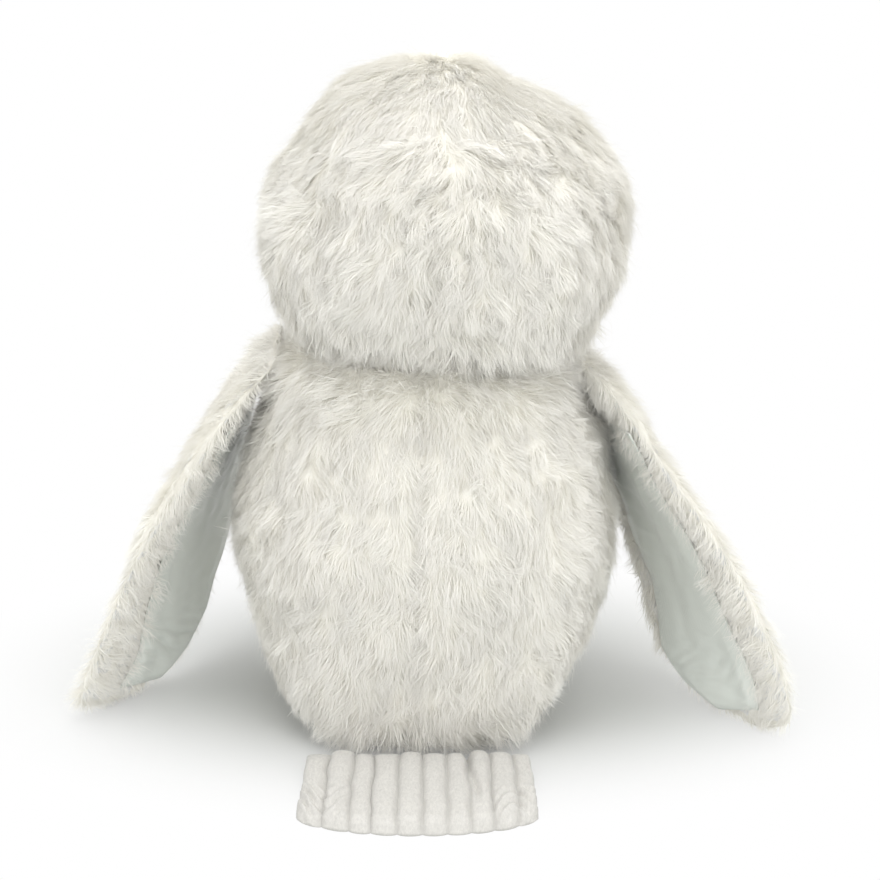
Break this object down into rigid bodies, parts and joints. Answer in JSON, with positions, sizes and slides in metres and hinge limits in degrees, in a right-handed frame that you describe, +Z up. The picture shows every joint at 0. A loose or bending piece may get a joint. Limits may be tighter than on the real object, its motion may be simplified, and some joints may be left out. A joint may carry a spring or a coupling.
{
  "type": "plush owl",
  "caption": "Standing plush snowy owl with a round head, spread fur wings lined in satin, a ribbed corduroy tail fan and small feet.",
  "frame": {"origin": "middle of the flat base gusset, on the floor that the owl stands on", "axes": "+Z up; -Y the way that the owl looks, with the tail lying along +Y; +X towards the owl's own left wing"},
  "size_m": [0.2977, 0.2148, 0.2715],
  "materials": {
    "fur": "long-pile faux fur, ivory white",
    "lining": "smooth satin lining, pale grey",
    "cord": "jumbo corduroy, off-white",
    "velour": "short velour, white",
    "felt": "felt, grey",
    "eye": "polished black plastic",
    "washer": "moulded plastic, natural",
    "stuffing": "polyester fibre, loose",
    "pellets": "woven bag of plastic pellets"
  },
  "bodies": {
    "body": {"body_fur": "fur", "body_stuffing": "stuffing", "pellet_bag": "pellets", "base_gusset": "cord"},
    "neck": {"neck_stuffing": "stuffing"},
    "head": {"head_fur": "fur", "head_stuffing": "stuffing", "face_disc": "velour", "beak": "felt", "left_eye": "eye", "left_eye_washer": "washer", "right_eye": "eye", "right_eye_washer": "washer"},
    "left_wing": {"left_wing_fur": "fur", "left_wing_wadding": "stuffing", "left_wing_lining": "lining"},
    "right_wing": {"right_wing_fur": "fur", "right_wing_wadding": "stuffing", "right_wing_lining": "lining"},
    "tail": {"tail_cord": "cord", "tail_wadding": "stuffing", "tail_underside": "lining"},
    "left_foot": {"left_foot_upper": "cord", "left_foot_stuffing": "stuffing", "left_foot_sole": "lining"},
    "right_foot": {"right_foot_upper": "cord", "right_foot_stuffing": "stuffing", "right_foot_sole": "lining"}
  },
  "joints": [
    {"name": "head_turn", "type": "hinge", "parent": "body", "child": "neck", "pos_m": [-0.0077, -0.003, 0.215], "axis": [0, 0, 1], "range_deg": [-25, 25], "stiffness_Nm_per_rad": 0.06},
    {"name": "head_nod", "type": "hinge", "parent": "neck", "child": "head", "pos_m": [-0.0077, -0.003, 0.215], "axis": [1, 0, 0], "range_deg": [-10, 10], "stiffness_Nm_per_rad": 0.06},
    {"name": "left_wing_lift", "type": "hinge", "parent": "body", "child": "left_wing", "pos_m": [0.06007, 0, 0.155], "axis": [0, -1, 0], "range_deg": [0, 65]},
    {"name": "right_wing_lift", "type": "hinge", "parent": "body", "child": "right_wing", "pos_m": [-0.06007, 0, 0.1502], "axis": [0, 1, 0], "range_deg": [0, 65]},
    {"name": "tail_lift", "type": "hinge", "parent": "body", "child": "tail", "pos_m": [0.0025, 0.06313, 0.0055], "axis": [1, 0, 0], "range_deg": [0, 40]},
    {"name": "left_foot_lift", "type": "hinge", "parent": "body", "child": "left_foot", "pos_m": [0.028, -0.06452, 0.0065], "axis": [-1, 0, 0], "range_deg": [0, 40]},
    {"name": "right_foot_lift", "type": "hinge", "parent": "body", "child": "right_foot", "pos_m": [-0.028, -0.06452, 0.0065], "axis": [-1, 0, 0], "range_deg": [0, 40]}
  ]
}
